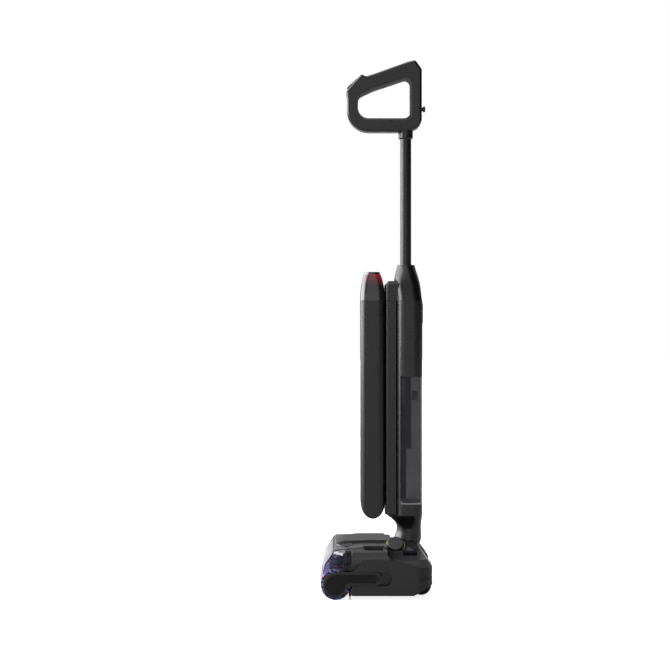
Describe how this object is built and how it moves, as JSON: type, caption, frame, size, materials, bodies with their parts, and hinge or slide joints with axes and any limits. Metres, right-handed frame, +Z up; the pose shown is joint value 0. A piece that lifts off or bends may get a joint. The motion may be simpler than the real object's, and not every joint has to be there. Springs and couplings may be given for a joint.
{
  "type": "wet dry floor scrubber",
  "caption": "Slim upright cordless wet and dry floor scrubber: looped handle on a pole, front clean tank, rear clear tank, tilting neck and a roller head with a clear hood.",
  "frame": {"origin": "on the floor under the middle of the whole machine", "axes": "+Z up, -X towards the roller at the front, -Y towards the side with the roller arm"},
  "size_m": [0.228, 0.256, 1.11],
  "materials": {
    "base_plastic": "fine matte moulding grain",
    "housing_grey": "dark grey moulded plastic, light satin",
    "gloss_cover": "high gloss dark grey",
    "satin_black": "smooth satin black",
    "tank_black": "smooth semi-gloss black",
    "tube_black": "powder coated black aluminium",
    "soft_grip": "soft-touch lining, matte",
    "soft_rubber": "matte rubber",
    "arm_insert": "matte insert",
    "pin_steel": "turned steel",
    "contact_metal": "plated contact",
    "motor_metal": "rolled steel can",
    "pulley_plastic": "natural nylon",
    "roller_plastic": "moulded core",
    "fleece": "deep pile fleece, blue and white with red stripes",
    "clear_plastic": "clear polycarbonate",
    "smoke_clear": "smoked transparent plastic",
    "smoke_gloss": "deep gloss smoked plastic",
    "display_black": "piano black",
    "light_red": "lit red light guide",
    "release_red": "dark red button",
    "knob_black": "gloss dark grey",
    "amber_ring": "amber translucent ring",
    "board_green": "solder mask",
    "cell_wrap": "shrink wrapped cells",
    "impeller_plastic": "moulded fan wheel",
    "inner_dark": "dark inner moulding",
    "filter_white": "pleated filter paper",
    "float_white": "foamed float",
    "button_grey": "satin button"
  },
  "bodies": {
    "head": {"chassis_tray": "base_plastic", "side_housing": "housing_grey", "top_cover": "gloss_cover", "neck_trough": "base_plastic", "pivot_caps": "pin_steel", "roller_tunnel": "base_plastic", "suction_duct": "base_plastic", "squeegee": "soft_rubber", "roller_motor": "motor_metal", "drive_belt": "soft_rubber", "drive_cover": "housing_grey", "water_bar": "base_plastic", "wheel_axles": "pin_steel", "head_screws": "pin_steel", "contact_socket": "base_plastic", "contact_prongs": "contact_metal", "knob_ring": "amber_ring"},
    "roller": {"roller_core": "roller_plastic", "roller_fleece": "fleece"},
    "arm": {"roller_arm": "housing_grey", "arm_panel": "arm_insert", "arm_spindle": "pin_steel"},
    "pulley": {"motor_pulley": "pulley_plastic"},
    "hood": {"clear_hood": "clear_plastic", "hood_spine": "smoke_gloss"},
    "knob": {"release_knob": "knob_black"},
    "wheel_near": {"wheel_hub_near": "base_plastic", "wheel_tyre_near": "soft_rubber"},
    "wheel_far": {"wheel_hub_far": "base_plastic", "wheel_tyre_far": "soft_rubber"},
    "joint_yoke": {"yoke": "base_plastic"},
    "tower": {"neck_shell": "satin_black", "spine_shell": "satin_black", "body_shell": "satin_black", "top_cowl": "satin_black", "display_cap": "smoke_gloss", "display_disc": "display_black", "light_ring": "light_red", "control_board": "board_green", "battery_cells": "cell_wrap", "suction_motor": "motor_metal", "water_pump": "motor_metal"},
    "fan": {"impeller": "impeller_plastic"},
    "clean_tank_unit": {"clean_tank": "tank_black", "tank_plug": "soft_rubber"},
    "recovery_tank_unit": {"recovery_vessel": "smoke_clear", "recovery_lid": "satin_black", "recovery_standpipe": "inner_dark", "recovery_filter": "filter_white"},
    "float": {"float_ball": "float_white"},
    "latch": {"tank_latch": "base_plastic"},
    "pole": {"pole_tube": "tube_black", "handle_near": "satin_black", "handle_far": "satin_black", "grip_band": "soft_grip", "button_panel": "display_black"},
    "pole_lock": {"pole_release": "release_red"},
    "power": {"power_button": "button_grey"},
    "mode": {"mode_button": "button_grey"},
    "nub": {"nub_button": "button_grey"}
  },
  "joints": [
    {"name": "neck_tilt", "type": "hinge", "parent": "head", "child": "joint_yoke", "pos_m": [0.0695, 0, 0.087], "axis": [0, 1, 0], "range_deg": [0, 85]},
    {"name": "neck_swivel", "type": "hinge", "parent": "joint_yoke", "child": "tower", "pos_m": [0.067, 0, 0.098], "axis": [0, 0, 1], "range_deg": [-45, 45]},
    {"name": "roller_spin", "type": "hinge", "parent": "head", "child": "roller", "pos_m": [-0.083, 0, 0.031], "axis": [0, 1, 0], "continuous": true},
    {"name": "motor_spin", "type": "hinge", "parent": "head", "child": "pulley", "pos_m": [-0.022, 0, 0.032], "axis": [0, 1, 0], "continuous": true},
    {"name": "arm_pull", "type": "slide", "parent": "head", "child": "arm", "axis": [0, -1, 0], "range_m": [0, 0.04]},
    {"name": "hood_lift", "type": "slide", "parent": "head", "child": "hood", "axis": [0, 0, 1], "range_m": [0, 0.036]},
    {"name": "knob_press", "type": "slide", "parent": "head", "child": "knob", "axis": [0, 0.7071, -0.7071], "range_m": [0, 0.0025], "stiffness_N_per_m": 600},
    {"name": "wheel_near_spin", "type": "hinge", "parent": "head", "child": "wheel_near", "pos_m": [0.0935, -0.05, 0.0205], "axis": [0, 1, 0], "continuous": true},
    {"name": "wheel_far_spin", "type": "hinge", "parent": "head", "child": "wheel_far", "pos_m": [0.0935, 0.05, 0.0205], "axis": [0, 1, 0], "continuous": true},
    {"name": "fan_spin", "type": "hinge", "parent": "tower", "child": "fan", "pos_m": [0.068, 0, 0.56], "axis": [0, 0, 1], "continuous": true},
    {"name": "clean_tank_pull", "type": "slide", "parent": "tower", "child": "clean_tank_unit", "axis": [-1, 0, 0], "range_m": [0, 0.08]},
    {"name": "recovery_tank_pull", "type": "slide", "parent": "tower", "child": "recovery_tank_unit", "axis": [1, 0, 0], "range_m": [0, 0.12]},
    {"name": "float_rise", "type": "slide", "parent": "recovery_tank_unit", "child": "float", "axis": [0, 0, 1], "range_m": [0, 0.025]},
    {"name": "latch_press", "type": "slide", "parent": "recovery_tank_unit", "child": "latch", "axis": [-1, 0, 0], "range_m": [0, 0.0025], "stiffness_N_per_m": 500},
    {"name": "pole_lift", "type": "slide", "parent": "tower", "child": "pole", "axis": [0, 0, 1], "range_m": [0, 0.058]},
    {"name": "pole_lock_press", "type": "slide", "parent": "tower", "child": "pole_lock", "axis": [1, 0, 0], "range_m": [0, 0.002], "stiffness_N_per_m": 600},
    {"name": "power_press", "type": "slide", "parent": "pole", "child": "power", "axis": [0.6639, 0, -0.7478], "range_m": [0, 0.0008], "stiffness_N_per_m": 800},
    {"name": "mode_press", "type": "slide", "parent": "pole", "child": "mode", "axis": [0.6639, 0, -0.7478], "range_m": [0, 0.0008], "stiffness_N_per_m": 800},
    {"name": "nub_press", "type": "slide", "parent": "pole", "child": "nub", "axis": [-1, 0, 0], "range_m": [0, 0.002], "stiffness_N_per_m": 800}
  ],
  "couplings": [
    {"joint": "motor_spin", "follows": "roller_spin", "ratio": 2}
  ]
}
